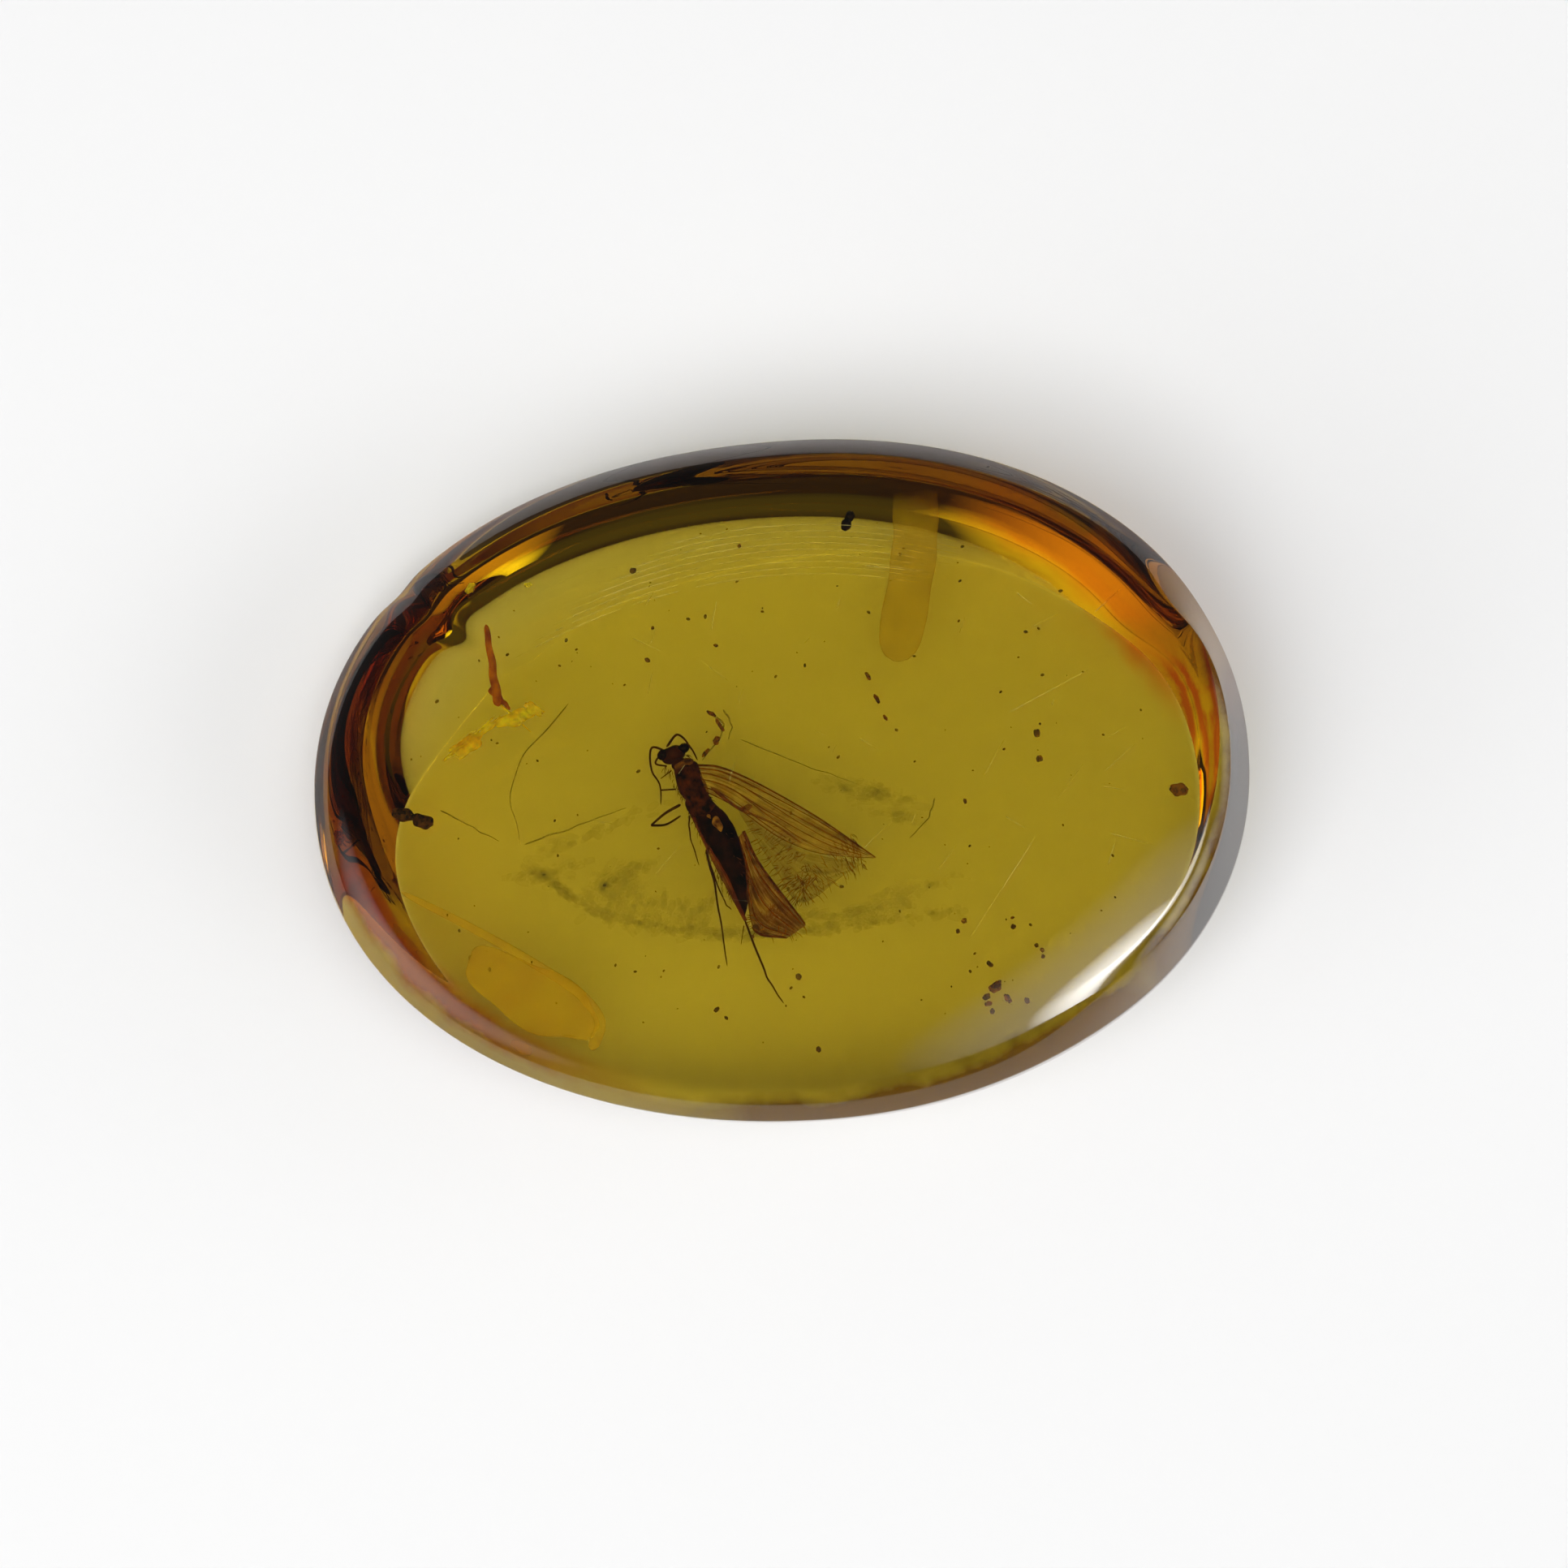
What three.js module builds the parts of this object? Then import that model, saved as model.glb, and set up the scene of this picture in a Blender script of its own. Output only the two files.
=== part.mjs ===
// An insect in amber: one polished amber piece, lying on its flat underside.
// Millimetres, +Z up. X runs along the stone's long axis and the ground is z = 0.
// The near side is -Y. The origin is the bottom centre of the bounding box.
//
// The stone has a nearly flat top, a shoulder that rolls down to a girdle set high
// on the side, and a flank that draws in below the girdle to a flat underside.
// On the right a steep narrow wall with a crisp upper edge stands in for the shoulder.
// The insect and everything else sealed inside are made with the finished look.

import * as THREE from 'three';

// ---- driving dimensions (mm, radians where it says so) ----

// Plan outline at the girdle, an oval between an ellipse and a rounded box.
const HALF_LENGTH = 12.0;
const HALF_WIDTH = 8.76;
const OVAL_POWER = 2.1;
// How far the outline departs from that oval, as shares of its radius.
const EGG_COS = -0.007;
const EGG_SIN = 0.0034;
// A shallow nick in the outline where the left end was ground back.
const NICK_DEPTH = 0.008;
const NICK_ANGLE = 2.639;
const NICK_WIDTH = 0.045;

// Heights, and the power that the top's fall towards its rim follows.
const THICKNESS = 6.2;
const GIRDLE_HEIGHT = 5.15;
const TOP_CROWN = 0.4;
const CROWN_POWER = 5;

// The top face reaches this share of the outline, further out on the right.
const TOP_REACH = 0.905;
const TOP_REACH_RIGHT = 0.01;
const SHOULDER_POWER = 2.2;

// The steep wall: height of its foot, its run, its bow, and the angles it spans.
const WALL_FOOT = 3.6;
const WALL_RUN = 0.4;
const WALL_POWER = 1.05;
const WALL_FROM = -0.62;
const WALL_TO = 0.34;

// The underside reaches this share of the outline, changed towards each side.
const BASE_REACH = 0.78;
const BASE_REACH_RIGHT = 0.05;
const BASE_REACH_FAR = -0.085;
const BASE_REACH_NEAR = 0.05;
const BASE_REACH_WALL = 0.035;
const WALL_BASE_SPREAD = 0.4;
// It swells at the near left corner, between these angles.
const BASE_REACH_CORNER = 0.13;
const CORNER_FROM = 3.05;
const CORNER_TO = 4.6;
// The ground left end stands a little steeper than the flank beside it.
const END_FACET = 0.02;
const END_FACET_FROM = 2.639;
const END_FACET_TO = 3.35;
const FLANK_POWER = 2.2;

// Fineness of the surface.
const AROUND = 112;
const TOP_RINGS = 6;
const SHOULDER_RINGS = 7;
const FLANK_RINGS = 9;

// ---- the form ----

function smoothStep(value, middle, softness) {
  return 1 / (1 + Math.exp(-(value - middle) / softness));
}

function outlineRadius(angle) {
  const alongTerm = Math.abs(Math.cos(angle) / HALF_LENGTH) ** OVAL_POWER;
  const acrossTerm = Math.abs(Math.sin(angle) / HALF_WIDTH) ** OVAL_POWER;
  const oval = (alongTerm + acrossTerm) ** (-1 / OVAL_POWER);
  const egg = 1 + EGG_COS * Math.cos(3 * angle) + EGG_SIN * Math.sin(3 * angle);
  const fromNick = (angle - NICK_ANGLE) / NICK_WIDTH;
  const nick = 1 - NICK_DEPTH * Math.exp(-(fromNick ** 2));
  return oval * egg * nick;
}

// The same angle between minus and plus half a turn.
function sideAngle(angle) {
  return angle > Math.PI ? angle - 2 * Math.PI : angle;
}

// 1 where the steep wall stands, 0 elsewhere.
function wallShare(angle) {
  const side = sideAngle(angle);
  return smoothStep(side, WALL_FROM, 0.1) * (1 - smoothStep(side, WALL_TO, 0.05));
}

function topReach(angle) {
  const rolled = TOP_REACH + TOP_REACH_RIGHT * Math.cos(angle);
  const crisp = 1 - WALL_RUN / outlineRadius(angle);
  return rolled + wallShare(angle) * (crisp - rolled);
}

function girdleHeight(angle) {
  return GIRDLE_HEIGHT + (WALL_FOOT - GIRDLE_HEIGHT) * wallShare(angle);
}

function baseReach(angle) {
  const across = Math.sin(angle) > 0 ? BASE_REACH_FAR : BASE_REACH_NEAR;
  const lean = BASE_REACH_RIGHT * Math.cos(angle) + across * Math.abs(Math.sin(angle));
  const wall = BASE_REACH_WALL * Math.exp(-((sideAngle(angle) / WALL_BASE_SPREAD) ** 4));
  const corner = smoothStep(angle, CORNER_FROM, 0.1) * (1 - smoothStep(angle, CORNER_TO, 0.15));
  const facet = smoothStep(angle, END_FACET_FROM, 0.02) * (1 - smoothStep(angle, END_FACET_TO, 0.08));
  return BASE_REACH + lean + wall + BASE_REACH_CORNER * corner + END_FACET * facet;
}

// Top face: from the middle out to the shoulder, level but for the crown.
function topPoint(share, angle) {
  return { reach: share * topReach(angle), height: THICKNESS };
}

// Shoulder or wall: a power curve from the top face down to the girdle.
function shoulderPoint(share, angle) {
  const power = SHOULDER_POWER + (WALL_POWER - SHOULDER_POWER) * wallShare(angle);
  const start = topReach(angle);
  const girdle = girdleHeight(angle);
  const rise = 1 - share ** power;
  return { reach: start + (1 - start) * share, height: girdle + (THICKNESS - girdle) * rise };
}

// Flank: part of a larger quarter turn, cut where it meets the underside.
function flankPoint(share, angle) {
  const inner = baseReach(angle) ** FLANK_POWER;
  const girdle = girdleHeight(angle);
  const depth = girdle / (1 - inner) ** (1 / FLANK_POWER);
  const turn = share * Math.asin(Math.sqrt(1 - inner));
  const power = 2 / FLANK_POWER;
  const reach = Math.cos(turn) ** power;
  return { reach, height: girdle - depth * Math.sin(turn) ** power };
}

// The crown lowers a point above the girdle by a power of its distance from the middle.
function surfacePoint(profile, angle) {
  const radius = profile.reach * outlineRadius(angle);
  const x = radius * Math.cos(angle);
  const y = radius * Math.sin(angle);
  const girdle = girdleHeight(angle);
  const above = Math.max(0, (profile.height - girdle) / (THICKNESS - girdle));
  const spread = (x / HALF_LENGTH) ** 2 + (y / HALF_WIDTH) ** 2;
  return [x, y, profile.height - TOP_CROWN * above * spread ** (CROWN_POWER / 2)];
}

function buildRings() {
  const rings = [];
  const stations = [];
  for (let i = 1; i <= TOP_RINGS; i += 1) {
    stations.push([topPoint, i / TOP_RINGS]);
  }
  for (let i = 1; i <= SHOULDER_RINGS; i += 1) {
    stations.push([shoulderPoint, i / SHOULDER_RINGS]);
  }
  for (let i = 1; i <= FLANK_RINGS; i += 1) {
    stations.push([flankPoint, i / FLANK_RINGS]);
  }
  for (const [station, share] of stations) {
    const ring = [];
    for (let j = 0; j < AROUND; j += 1) {
      const angle = j * 2 * Math.PI / AROUND;
      ring.push(surfacePoint(station(share, angle), angle));
    }
    rings.push(ring);
  }
  // The last ring lies in the plane of the underside.
  for (const point of rings[rings.length - 1]) {
    point[2] = 0;
  }
  return rings;
}

function amberGeometry() {
  const rings = buildRings();
  const points = rings.flat();
  const topCentre = points.length;
  points.push([0, 0, THICKNESS]);
  const baseCentre = points.length;
  points.push([0, 0, 0]);

  const faces = [];
  for (let j = 0; j < AROUND; j += 1) {
    const next = (j + 1) % AROUND;
    faces.push([topCentre, j, next]);
    for (let i = 0; i < rings.length - 1; i += 1) {
      const upper = i * AROUND;
      const lower = upper + AROUND;
      faces.push([upper + j, lower + j, lower + next]);
      faces.push([upper + j, lower + next, upper + next]);
    }
    const last = (rings.length - 1) * AROUND;
    faces.push([baseCentre, last + next, last + j]);
  }

  const geometry = new THREE.BufferGeometry();
  geometry.setAttribute('position', new THREE.Float32BufferAttribute(points.flat(), 3));
  geometry.setIndex(faces.flat());
  // Bring the bottom centre of the bounding box to the origin.
  geometry.computeBoundingBox();
  const box = geometry.boundingBox;
  const midX = (box.min.x + box.max.x) / 2;
  const midY = (box.min.y + box.max.y) / 2;
  geometry.translate(-midX, -midY, -box.min.z);
  geometry.computeVertexNormals();
  return geometry;
}

// ---- the part ----

const amberResin = new THREE.MeshStandardMaterial({
  color: 0xa88a1e,
  roughness: 0.08,
  metalness: 0,
});

const amber = new THREE.Mesh(amberGeometry(), amberResin);
amber.name = 'amber';

const group = new THREE.Group();
group.name = 'insect_in_amber';
group.add(amber);

export default group;
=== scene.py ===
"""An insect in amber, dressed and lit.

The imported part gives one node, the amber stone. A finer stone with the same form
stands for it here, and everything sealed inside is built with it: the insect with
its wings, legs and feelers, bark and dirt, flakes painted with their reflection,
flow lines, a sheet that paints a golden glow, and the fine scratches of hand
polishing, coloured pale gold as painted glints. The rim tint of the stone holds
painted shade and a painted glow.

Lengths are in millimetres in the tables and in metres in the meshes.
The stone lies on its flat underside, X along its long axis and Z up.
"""

import logging
import math
from dataclasses import dataclass
from enum import Enum

import bpy
import numpy as np
from mathutils import Matrix, Vector

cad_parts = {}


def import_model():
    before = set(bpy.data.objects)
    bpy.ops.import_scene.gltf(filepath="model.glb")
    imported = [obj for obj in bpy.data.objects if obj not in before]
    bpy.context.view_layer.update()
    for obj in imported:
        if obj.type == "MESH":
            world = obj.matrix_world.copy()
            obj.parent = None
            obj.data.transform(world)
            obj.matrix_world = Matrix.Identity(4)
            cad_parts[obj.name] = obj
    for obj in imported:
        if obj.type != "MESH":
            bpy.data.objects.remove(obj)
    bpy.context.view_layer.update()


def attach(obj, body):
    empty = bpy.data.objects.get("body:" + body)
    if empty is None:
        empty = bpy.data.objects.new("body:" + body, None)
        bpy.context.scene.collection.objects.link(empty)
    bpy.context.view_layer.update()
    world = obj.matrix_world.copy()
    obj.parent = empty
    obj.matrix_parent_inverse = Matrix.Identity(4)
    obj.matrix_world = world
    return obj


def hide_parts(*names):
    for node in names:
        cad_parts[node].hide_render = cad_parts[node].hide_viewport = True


LOG = logging.getLogger("insect_in_amber")
MM = 0.001
RNG_SEED = 7

Colour = tuple[float, float, float]
Point = tuple[float, float, float]
FlatPath = list[tuple[float, float]]
Piece = bpy.types.Object
Socket = bpy.types.NodeSocket

# The stone's half sizes in plan. Its outline, crown, rim tint with its painted shade and painted glow, and
# the scratches painted as glints follow them.
HALF_LENGTH = 12.0
HALF_WIDTH = 8.76


class Slot(Enum):
    """Material slots of the record."""

    AMBER = "amber"
    BODY = "insect_body"
    WING = "insect_wing"
    DEBRIS = "debris"
    FLAW = "flaw"


# ---------------------------------------------------------------------------
# Surfaces worked out as whole arrays
# ---------------------------------------------------------------------------


def smooth_path(points: list[Point] | np.ndarray, count: int) -> np.ndarray:
    """Carries a Catmull-Rom curve through points.

    Args:
        points: way points, in order, at least two.
        count: number of points on the finished curve.

    Returns:
        Array of shape (count, 3).
    """
    p = np.asarray(points, dtype=float)
    p = np.vstack([2 * p[0] - p[1], p, 2 * p[-1] - p[-2]])
    t = np.linspace(0, len(p) - 3 - 1e-9, count)
    k = t.astype(int)
    f = (t - k)[:, None]
    a, b, c, d = p[k], p[k + 1], p[k + 2], p[k + 3]
    return 0.5 * (
        2 * b + (c - a) * f + (2 * a - 5 * b + 4 * c - d) * f**2 + (3 * b - a - 3 * c + d) * f**3
    )


def lift(path: FlatPath, height: float, end_height: float | None = None) -> list[Point]:
    """Gives a flat path a height.

    Args:
        path: way points seen from above.
        height: height at the start.
        end_height: height at the end, or None for a level path.

    Returns:
        The way points, their height running evenly from start to end.
    """
    last = height if end_height is None else end_height
    heights = np.linspace(height, last, len(path))
    return [(x, y, float(z)) for (x, y), z in zip(path, heights)]


def closed_faces(count: int, around: int, first: int = 0) -> list[list[int]]:
    """Faces of one closed shape: quads between its rings and a fan over each end.

    Args:
        count: number of rings.
        around: points on each ring. The two end points follow the last ring.
        first: number of the shape's first point.

    Returns:
        The point numbers of each face, facing outwards.
    """
    j = np.arange(around)
    after = (j + 1) % around
    i = np.arange(count - 1)[:, None] * around
    quads = np.stack([i + j, i + around + j, i + around + after, i + after], -1).reshape(-1, 4)
    start = np.stack([np.full(around, count * around), j, after], -1)
    base = (count - 1) * around
    end = np.stack([np.full(around, count * around + 1), base + after, base + j], -1)
    return (quads + first).tolist() + (start + first).tolist() + (end + first).tolist()


def closed_surface(name: str, rows: np.ndarray, start: np.ndarray, end: np.ndarray) -> Piece:
    """Builds one closed piece from rings and its two end points.

    Args:
        name: piece name.
        rows: rings of points in millimetres, shape (rings, around, 3).
        start: pole before the first ring.
        end: pole after the last ring.

    Returns:
        The new object, smooth shaded, with its points in the mesh.
    """
    count, around = rows.shape[:2]
    points = np.vstack([rows.reshape(-1, 3), start, end])
    return new_piece(name, points, closed_faces(count, around))


def new_piece(name: str, points: np.ndarray, faces: list[list[int]]) -> Piece:
    """Makes a smooth-shaded object.

    Args:
        name: piece name.
        points: points in millimetres, shape (n, 3).
        faces: point numbers of each face.

    Returns:
        The new object, linked to the scene.
    """
    mesh = bpy.data.meshes.new(name)
    mesh.from_pydata((points * MM).tolist(), [], faces)
    mesh.polygons.foreach_set("use_smooth", np.ones(len(mesh.polygons), dtype=bool))
    mesh.update()
    piece = bpy.data.objects.new(name, mesh)
    bpy.context.scene.collection.objects.link(piece)
    return piece


def tube_rows(path: np.ndarray, radii: np.ndarray, around: int = 12, flat: float = 1.0) -> np.ndarray:
    """Carries a circle along a path.

    At each point the circle stands square to the path: one half-axis is level and
    the other is the cross product of path direction and level axis.

    Args:
        path: centre line, shape (n, 3).
        radii: radius at each point, shape (n,).
        around: points on the circle.
        flat: height of the section as a share of its width.

    Returns:
        Rings of shape (n, around, 3).
    """
    along = np.gradient(path, axis=0)
    along /= np.linalg.norm(along, axis=1, keepdims=True)
    side = np.cross(along, [0.0, 0.0, 1.0])
    side /= np.maximum(np.linalg.norm(side, axis=1, keepdims=True), 1e-6)
    up = np.cross(side, along)
    a = np.linspace(0, 2 * np.pi, around, endpoint=False)[None, :, None]
    circle = np.cos(a) * side[:, None] - flat * np.sin(a) * up[:, None]
    return path[:, None] + radii[:, None, None] * circle


def soft_band(value: np.ndarray, start: float, stop: float, opening: float, closing: float) -> np.ndarray:
    """One logistic step up at start times one down at stop.

    Args:
        value: values to read.
        start: where the band opens.
        stop: where the band closes.
        opening: softness of the first step.
        closing: softness of the second step.

    Returns:
        Shares, near 1 between start and stop and near 0 elsewhere.
    """
    opens = 1 / (1 + np.exp(-(value - start) / opening))
    closes = 1 / (1 + np.exp((value - stop) / closing))
    return opens * closes


@dataclass(frozen=True)
class Strand:
    """A thin round strand through way points, thinner towards its far end."""

    way: list[Point] | list[np.ndarray]
    radius: float
    end_radius: float = 0.0
    flat: float = 1.0
    waver: float = 0.0
    fineness: int = 40

    def rows(self, around: int = 10) -> np.ndarray:
        """Rings of the strand, its ends drawn in round.

        A strand with some waver sways on a sine whose start depends on its radius,
        so that no two sway alike.

        Args:
            around: points on each ring.

        Returns:
            Rings of shape (fineness, around, 3).
        """
        path = smooth_path(self.way, self.fineness)
        t = np.linspace(0, 1, self.fineness)
        sway = self.waver * np.sin(t * 17.0 + self.radius * 900.0) * np.sin(t * np.pi)
        path[:, 0] += sway
        path[:, 1] += 0.6 * sway * np.cos(t * 9.0)
        width = self.radius + (max(self.end_radius, 0.15 * self.radius) - self.radius) * t
        close = np.sqrt(np.clip(1 - (2 * t - 1) ** 16, 0.02, 1))
        return tube_rows(path, width * close, around, self.flat)


def join_rows(name: str, parts: list[np.ndarray]) -> Piece:
    """Builds one piece out of several closed strands or blobs.

    Args:
        name: piece name.
        parts: rings of each closed shape.

    Returns:
        The new object holding every shape.
    """
    points: list[np.ndarray] = []
    faces: list[list[int]] = []
    offset = 0
    for rows in parts:
        count, around = rows.shape[:2]
        points.append(np.vstack([rows.reshape(-1, 3), rows[0].mean(0), rows[-1].mean(0)]))
        faces += closed_faces(count, around, offset)
        offset += count * around + 2
    return new_piece(name, np.vstack(points), faces)


@dataclass(frozen=True)
class Blob:
    """An uneven rounded lump: an ellipsoid with low waves in its surface."""

    centre: Point
    radii: Point
    turn: float = 0.0
    tilt: float = 0.0
    lumps: float = 0.06
    phase: float = 0.0

    def rows(self, fine: int = 20) -> np.ndarray:
        """Rings of the lump from one pole to the other.

        Args:
            fine: number of rings; there are twice as many points around.

        Returns:
            Rings of shape (fine, 2 * fine, 3).
        """
        v = np.linspace(0, np.pi, fine + 2)[1:-1, None]
        u = np.linspace(0, 2 * np.pi, 2 * fine, endpoint=False)[None, :]
        wave = 1 + self.lumps * (
            np.sin(3 * u + 2 * v + self.phase) + 0.7 * np.sin(5 * v - 2 * u + 2 * self.phase)
        ) * np.sin(v)
        local = np.stack(
            [
                np.cos(v) * wave * self.radii[0],
                np.sin(v) * np.cos(u) * wave * self.radii[1],
                np.sin(v) * np.sin(u) * wave * self.radii[2],
            ],
            -1,
        )
        turned = Matrix.Rotation(math.radians(self.turn), 3, "Z")
        tilted = Matrix.Rotation(math.radians(self.tilt), 3, "Y")
        return local @ np.array(turned @ tilted).T + np.asarray(self.centre)


@dataclass(frozen=True)
class Blade:
    """A thin sheet between a leading and a trailing edge, both from root to tip."""

    lead: list[Point]
    trail: list[Point]
    thickness: float = 0.012
    camber: float = 0.12
    ripple: float = 0.01
    along: int = 60
    across: int = 24

    def surface(self, s: np.ndarray, t: np.ndarray) -> np.ndarray:
        """Middle surface of the sheet.

        A point lies the share t of the way from the leading to the trailing edge at
        the share s of the span, raised by an arch across the chord and by low ripples.

        Args:
            s: shares of the span from root to tip.
            t: shares of the chord, same shape as s.

        Returns:
            Points of shape s.shape + (3,).
        """
        fine = 200
        pick = np.clip(s * (fine - 1), 0, fine - 1).astype(int)
        lead = smooth_path(self.lead, fine)[pick]
        trail = smooth_path(self.trail, fine)[pick]
        middle = lead + (trail - lead) * t[..., None]
        arch = self.camber * np.sin(np.pi * t) * np.sin(np.pi * np.clip(s, 0, 1)) ** 0.5
        wave = self.ripple * (np.sin(11 * t * np.pi) * np.sin(np.pi * s) + np.sin(9 * s + 4 * t))
        middle[..., 2] += arch + wave
        return middle

    def build(self, name: str) -> Piece:
        """Builds the sheet as a thin closed shell with its own map.

        Args:
            name: piece name.

        Returns:
            The new object; its map runs along the span in u and across it in v.
        """
        s, t = np.meshgrid(np.linspace(0, 1, self.along), np.linspace(0, 1, self.across), indexing="ij")
        middle = self.surface(s, t)
        half = 0.5 * self.thickness * (0.15 + np.sin(np.pi * np.clip(t, 0.04, 0.96)))
        top, under = middle.copy(), middle.copy()
        top[..., 2] += half
        under[..., 2] -= half
        ring = np.concatenate([top, under[:, ::-1]], axis=1)
        piece = join_rows(name, [ring])
        grid = np.stack([s, t], -1)
        share = np.concatenate([grid, grid[:, ::-1]], axis=1).reshape(-1, 2)
        share = np.vstack([share, [[0.0, 0.5], [1.0, 0.5]]])
        write_map(piece, share)
        return piece


def write_map(piece: Piece, share: np.ndarray) -> None:
    """Writes one map value per point as the piece's map.

    Args:
        piece: the object.
        share: map values, one row for each mesh point.
    """
    mesh = piece.data
    layer = mesh.uv_layers.new(name="span")
    corners = np.empty(len(mesh.loops), dtype=np.int32)
    mesh.loops.foreach_get("vertex_index", corners)
    layer.data.foreach_set("uv", share[corners].astype(np.float32).ravel())


# ---------------------------------------------------------------------------
# Finishes
# ---------------------------------------------------------------------------


class Nodes:
    """A short hand for building the node tree of one material, or of the world."""

    def __init__(self, name: str, world: bpy.types.World | None = None) -> None:
        """Starts a material, or the world given, with an empty tree and its output node.

        Args:
            name: name of the new material.
            world: a world to fill in place of a material.
        """
        self.material = world or bpy.data.materials.new(name)
        self.material.use_nodes = True
        self.tree = self.material.node_tree
        self.tree.nodes.clear()
        self.output = self.tree.nodes.new("ShaderNodeOutputWorld" if world else "ShaderNodeOutputMaterial")

    def add(self, kind: str, inputs: dict | None = None, **settings: object) -> bpy.types.Node:
        """Adds a node.

        Args:
            kind: node type without its "ShaderNode" prefix.
            inputs: socket name or number to a plain value or to a socket to link.
            settings: plain properties of the node.

        Returns:
            The new node.
        """
        node = self.tree.nodes.new("ShaderNode" + kind)
        for key, value in settings.items():
            setattr(node, key, value)
        for key, value in (inputs or {}).items():
            if isinstance(value, Socket):
                self.tree.links.new(value, node.inputs[key])
            else:
                node.inputs[key].default_value = value
        return node

    def place(self) -> Socket:
        """Object coordinates in millimetres."""
        inputs = {"Vector": self.add("TexCoord").outputs["Object"], "Scale": (MM, MM, MM)}
        return self.add("Mapping", inputs, vector_type="TEXTURE").outputs["Vector"]

    def noise(self, vector: Socket, scale: float, detail: float) -> Socket:
        """Even noise from 0 to 1 read at vector."""
        return self.add("TexNoise", {"Vector": vector, "Scale": scale, "Detail": detail}).outputs["Fac"]

    def ramp(self, value: Socket, stops: list[tuple[float, Colour]]) -> Socket:
        """Colour ramp over value.

        Args:
            value: socket to read.
            stops: (position, colour), in order.

        Returns:
            The colour socket.
        """
        node = self.add("ValToRGB", {"Fac": value})
        elements = node.color_ramp.elements
        while len(elements) < len(stops):
            elements.new(0.5)
        for element, (position, colour) in zip(elements, stops):
            element.position = position
            element.color = (*colour, 1.0)
        return node.outputs["Color"]

    def range(
        self, value: Socket, low: float, high: float, to_low: float = 0.0, to_high: float = 1.0
    ) -> Socket:
        """Maps low..high of value onto to_low..to_high, clamped."""
        names = {"Value": value, "From Min": low, "From Max": high, "To Min": to_low, "To Max": to_high}
        return self.add("MapRange", names).outputs["Result"]

    def math(self, operation: str, a: object, b: object = 0.0) -> Socket:
        """One arithmetic step on two values or sockets."""
        return self.add("Math", {0: a, 1: b}, operation=operation).outputs[0]

    def blend(self, share: Socket, first: object, second: Colour) -> Socket:
        """Goes from the first colour to the second as share goes from 0 to 1."""
        inputs = {"Factor": share, "A": first, "B": (*second, 1.0)}
        return self.add("Mix", inputs, data_type="RGBA").outputs["Result"]

    def finish(self, shader: bpy.types.Node) -> bpy.types.Material:
        """Joins the shader to the output and gives back the material."""
        self.tree.links.new(shader.outputs[0], self.output.inputs["Surface"])
        return self.material


@dataclass(frozen=True)
class AmberResin:
    """Clear olive-gold fossil resin with a hand polish."""

    refraction: float = 1.54
    roughness: float = 0.0
    taken_per_metre: Colour = (40.0, 66.0, 320.0)
    # painted shade: brown that darkens the rim on the near side and the right end
    painted_shade_rind: Colour = (0.16, 0.07, 0.012)
    # red weathered skin at the left end, also painted shade that deepens the rim band there
    red_rind_and_shade: Colour = (0.66, 0.10, 0.004)
    # painted glow: orange at the far right of the rim
    painted_glow_rind: Colour = (0.95, 0.26, 0.01)

    def rind_shade_and_glow(self, n: Nodes) -> Socket:
        """Tint round the rim: partly weathered skin, partly painted shade and a painted glow.

        It starts where the elliptical radius passes a share of the outline: red at the
        left end, weathered skin that also deepens the rim band there as painted shade;
        brown on the near side and the right end, painted shade; orange at the far right,
        a painted glow; all broken up by noise.

        Args:
            n: the tree to add to.

        Returns:
            The colour socket.
        """
        split = n.add("SeparateXYZ", {0: n.place()})
        x, y = split.outputs["X"], split.outputs["Y"]
        along = n.math("POWER", n.math("ABSOLUTE", n.math("DIVIDE", x, HALF_LENGTH)), 2.0)
        across = n.math("POWER", n.math("ABSOLUTE", n.math("DIVIDE", y, HALF_WIDTH)), 2.0)
        radius = n.math("SQRT", n.math("ADD", along, across))
        ragged = n.math("ADD", radius, n.range(n.noise(n.place(), 0.8, 4.0), 0.3, 0.7, -0.015, 0.015))
        inside = n.range(ragged, 0.985, 0.955)
        ring = n.math("MULTIPLY", n.range(ragged, 0.88, 0.92), inside)
        # red skin at the left end, partly painted shade
        left = n.math("MULTIPLY", ring, n.math("MULTIPLY", n.range(x, -3.0, -8.0), n.range(y, 6.0, 4.4)))
        side = n.math("MULTIPLY", n.range(y, -3.0, -6.0), n.range(x, -6.0, -1.0))
        right = n.range(x, 7.0, 9.5)
        # painted shade: brown on the near side and the right end
        near = n.math("MULTIPLY", n.range(ragged, 0.93, 0.97), n.math("MAXIMUM", side, right))
        # painted glow: orange at the far right, from here to the blend below
        end = n.math("MULTIPLY", n.range(x, 2.5, 6.0), n.range(y, 1.0, 3.5))
        far = n.math("MULTIPLY", n.range(ragged, 0.80, 0.85), n.math("MULTIPLY", inside, end))
        orange = n.blend(far, (1.0, 1.0, 1.0, 1.0), self.painted_glow_rind)
        return n.blend(left, n.blend(near, orange, self.painted_shade_rind), self.red_rind_and_shade)

    def material(self) -> bpy.types.Material:
        """Plain transmission outside and plain absorption inside.

        Returns:
            The material.
        """
        n = Nodes("amber resin")
        shader = n.add(
            "BsdfPrincipled",
            {
                # rim tint with its painted shade and painted glow
                "Base Color": self.rind_shade_and_glow(n),
                "Transmission Weight": 1.0,
                "IOR": self.refraction,
                "Roughness": self.roughness,
            },
        )
        density = max(self.taken_per_metre)
        colour = tuple(1.0 - k / density for k in self.taken_per_metre)
        absorb = n.add("VolumeAbsorption", {"Color": (*colour, 1.0), "Density": density})
        n.tree.links.new(absorb.outputs["Volume"], n.output.inputs["Volume"])
        return n.finish(shader)


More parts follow.
